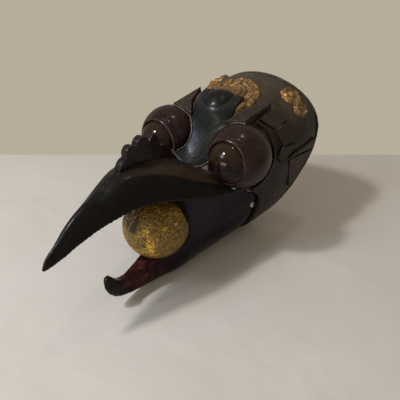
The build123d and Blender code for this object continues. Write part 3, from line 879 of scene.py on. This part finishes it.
def make_medallion():
    """Oval dish with two raised rings inside the wreath."""
    rows, columns = 40, 120

    def ground(r, c):
        share = 0.02 + 0.98 * r / (rows - 1)
        angle = 2 * math.pi * c / columns
        x = DISH_HALF_X * share * math.cos(angle)
        return on_head(x, WREATH_Y + DISH_HALF_Y * share * math.sin(angle))

    def height(r, c):
        share = r / (rows - 1)
        dish = 1.0 + 1.5 * math.cos(share * 2.4)
        rings = 1.5 * math.exp(-((share - 0.88) / 0.06) ** 2) + 0.8 * math.exp(-((share - 0.66) / 0.035) ** 2)
        grooves = -0.9 * math.exp(-((share - 0.76) / 0.03) ** 2)
        return (dish + rings + grooves) * MM * (1 - smooth_step(share, 0.95, 1.0))

    piece = relief("forehead_medallion_dish", rows, columns, ground, height, True)
    finish_piece(piece, HEAD, "gold_leaf", GOLD, "forehead_medallion")


def on_side(values, side):
    """Vector given for the +X side, mirrored where side is -1."""
    return Vector((side * values[0], values[1], values[2]))


def ray_to_circle(angle, centre, radius):
    """How far a ray from the origin runs before it leaves a circle that may not hold the origin."""
    along = centre * math.cos(angle)
    inside = radius * radius - (centre * math.sin(angle)) ** 2
    if inside < 0:
        return 0.0
    return along + math.sqrt(inside)


def make_rosettes():
    """Two-lobed gilded shell with a knot between its lobes, on each temple."""
    rows, columns = 46, 160
    big, small = -0.40, 0.50

    def outline(angle):
        reach = max(ray_to_circle(angle, big, 0.60), ray_to_circle(angle, small, 0.46), 0.34)
        return reach * (1 + 0.035 * math.cos(11 * angle))

    def local(r, c):
        angle = 2 * math.pi * c / columns
        share = (0.02 + 0.98 * r / (rows - 1)) * outline(angle)
        return share * math.cos(angle), share * math.sin(angle)

    def height(r, c):
        u, v = local(r, c)
        total = 1.2
        for centre, radius, tall in ((big, 0.58, 3.4), (small, 0.44, 3.0)):
            d = math.hypot(u - centre, v * 1.05) / radius
            turn = math.atan2(v, u - centre)
            total += tall * math.exp(-((d - 0.74) / 0.20) ** 2) * (1 + 0.22 * math.cos(7 * turn + 1))
            total += 0.8 * tall * math.exp(-(d / 0.36) ** 2) * (1 + 0.3 * math.sin(26 * v + 9 * u))
        total += 2.4 * math.exp(-((u - 0.10) / 0.12) ** 2 - (v / 0.20) ** 2)
        coarse = 0.35 * noise.noise(Vector((u * 9, v * 9, 2.0)))
        total += coarse + 0.2 * noise.noise(Vector((u * 25, v * 25, 5.0)))
        edge = 1 - smooth_step(r / (rows - 1), 0.93, 1.0)
        return total * edge * MM

    for name, side in SIDES:
        centre = on_side(ROSETTE_CENTRE, side)
        normal = on_side(ROSETTE_OUTWARD, side).normalized()
        down = on_side(ROSETTE_DOWNWARD, side).normalized()
        back = normal.cross(down).normalized()

        def ground(r, c):
            u, v = local(r, c)
            start = centre + down * (u * ROSETTE_HALF_LENGTH) + normal * 20 * MM
            start += back * (v * ROSETTE_HALF_WIDTH * side)
            point, hit_normal, _, _ = head_surface.ray_cast(start, -normal)
            if hit_normal.dot(normal) < 0:
                hit_normal = -hit_normal
            return point, hit_normal

        piece = relief("temple_rosette_leaves_" + name, rows, columns, ground, height, True)
        finish_piece(piece, HEAD, "gold_leaf", GOLD, "temple_rosette_" + name)


def make_ball():
    """Solid ball under rough gold leaf: grains, creases and shallow dents."""
    low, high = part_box("gilded_ball")
    centre = (low + high) / 2
    centre.z = high.z - BALL_RADIUS
    work = bmesh.new()
    bmesh.ops.create_icosphere(work, subdivisions=7, radius=BALL_RADIUS - 0.5 * MM)
    mesh = bpy.data.meshes.new("gilded_ball_leaf")
    for vertex in work.verts:
        p = vertex.co
        dents = 0.30 * ripple(p, 11 * MM, 3)
        grains = 0.30 * ripple(p, 3.0 * MM, 8) + 0.16 * ripple(p, 1.3 * MM, 12)
        folds = 0.25 * (1 - min(1.0, abs(ripple(p, 6 * MM, 20)) * 6))
        vertex.co = p + p.normalized() * (dents + grains + folds) * 0.8 * MM
    bmesh.ops.translate(work, verts=work.verts, vec=centre)
    work.to_mesh(mesh)
    work.free()
    piece = link("gilded_ball_leaf", mesh)
    shade_smooth(piece)
    finish_piece(piece, JAW, "ball_gold", BALL_GOLD, "gilded_ball")


# ---- lining and straps ----
def make_pad(node, cap):
    """Felt pad, shrunk, blown up by a cloth simulation, held to a cap and smoothed."""
    piece = remeshed(node, node + "_felt", 4.5 * MM, 2)
    low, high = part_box(node)
    middle = (low + high) / 2
    for vertex in piece.data.vertices:
        vertex.co = middle + (vertex.co - middle) * PAD_SHRINK
    before = [v.co.copy() for v in piece.data.vertices]
    cloth = piece.modifiers.new("cloth", "CLOTH")
    cloth.settings.use_pressure = True
    cloth.settings.uniform_pressure_force = 4
    cloth.settings.effector_weights.gravity = 0
    cloth.point_cache.frame_start = 1
    cloth.point_cache.frame_end = PAD_FRAMES
    for step in range(1, PAD_FRAMES + 1):
        bpy.context.scene.frame_set(step)
    apply_modifiers(piece)
    bpy.context.scene.frame_set(1)
    for vertex, start in zip(piece.data.vertices, before):
        move = vertex.co - start
        if move.length > cap:
            vertex.co = start + move.normalized() * cap
    rounding = piece.modifiers.new("rounding", "SUBSURF")
    rounding.levels = 1
    rounding.render_levels = 1
    apply_modifiers(piece)
    shade_smooth(piece)
    finish_piece(piece, HEAD, "felt", FELT, node)


def make_band(node, name, axis):
    """Flat leather strap with rounded edges that fills its CAD band and runs along an axis."""
    low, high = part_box(node)
    size = high - low
    middle = (low + high) / 2
    other = 2 if axis == 0 else 0
    rows = 60
    half = size[other] / 2
    thick = size.y / 2
    section = []
    for c in range(STRAP_SIDES):
        angle = 2 * math.pi * c / STRAP_SIDES
        x = math.copysign(abs(math.cos(angle)) ** 0.25, math.cos(angle))
        y = math.copysign(abs(math.sin(angle)) ** 0.6, math.sin(angle))
        section.append((half * x, thick * y))

    def place(r, c):
        along = low[axis] + size[axis] * r / (rows - 1)
        wide, deep = section[c]
        point = Vector(middle)
        point[axis] = along
        point[other] += wide + 0.25 * MM * math.sin(along * 160)
        point.y += deep + 0.3 * MM * math.sin(along * 90 + 1)
        return tuple(point)

    mesh = grid_mesh(name, rows, STRAP_SIDES, place, closed=True)
    work = bmesh.new()
    work.from_mesh(mesh)
    edges = [e for e in work.edges if e.is_boundary]
    bmesh.ops.holes_fill(work, edges=edges)
    bmesh.ops.recalc_face_normals(work, faces=work.faces)
    work.to_mesh(mesh)
    work.free()
    piece = link(name, mesh)
    shade_smooth(piece)
    finish_piece(piece, HEAD, "strap_leather", LEATHER, node)
    return low, high


def make_stitches(name, low, high, axis):
    """Two rows of waxed stitches on both faces of a strap."""
    other = 2 if axis == 0 else 0
    work = bmesh.new()
    count = int((high[axis] - low[axis] - 2 * STITCH_MARGIN) / STITCH_PITCH)
    for face in (low.y + 0.05 * MM, high.y - 0.05 * MM):
        for line in (low[other] + STITCH_INSET, high[other] - STITCH_INSET):
            for i in range(count):
                centre = Vector((0, face, 0))
                centre[axis] = low[axis] + STITCH_MARGIN + STITCH_PITCH * (i + 0.5)
                centre[other] = line
                made = bmesh.ops.create_icosphere(work, subdivisions=2, radius=STITCH_RADIUS)
                for vertex in made["verts"]:
                    vertex.co[axis] *= 3.6
                    vertex.co = vertex.co + centre
    mesh = bpy.data.meshes.new(name)
    work.to_mesh(mesh)
    work.free()
    piece = link(name, mesh)
    shade_smooth(piece)
    finish_piece(piece, HEAD, "strap_leather", THREAD)


# ---- all pieces ----
make_shell()
make_carved_pieces()
make_eyes()
make_hood_rims()
make_nose_lip()
make_wreath()
make_medallion()
make_rosettes()
make_ball()
make_pad("forehead_pad", 5 * MM)
for side_name, _ in SIDES:
    make_pad("cheek_pad_" + side_name, 4 * MM)
for node, axis in (("head_strap", 0), ("crown_strap", 2)):
    band_low, band_high = make_band(node, node + "_leather", axis)
    make_stitches(node + "_stitches", band_low, band_high, axis)


def paint_hardware():
    """Materials for the CAD nodes that show as they are."""
    plan = {
        "hinge_bracket": STEEL,
        "jaw_pivot_bolt": STEEL,
        "jaw_pivot_nut": STEEL,
        "strap_anchor": STEEL,
        "friction_washer": NYLON,
        "lens_retainer": RUBBER,
    }
    chosen = {"crown_anchor": STEEL, "strap_rivets": BRASS, "ball_dowel": BEECH}
    for node, material in plan.items():
        for name, _ in SIDES:
            chosen[node + "_" + name] = material
    for node, material in chosen.items():
        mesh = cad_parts[node].data
        mesh.materials.clear()
        mesh.materials.append(material)


paint_hardware()
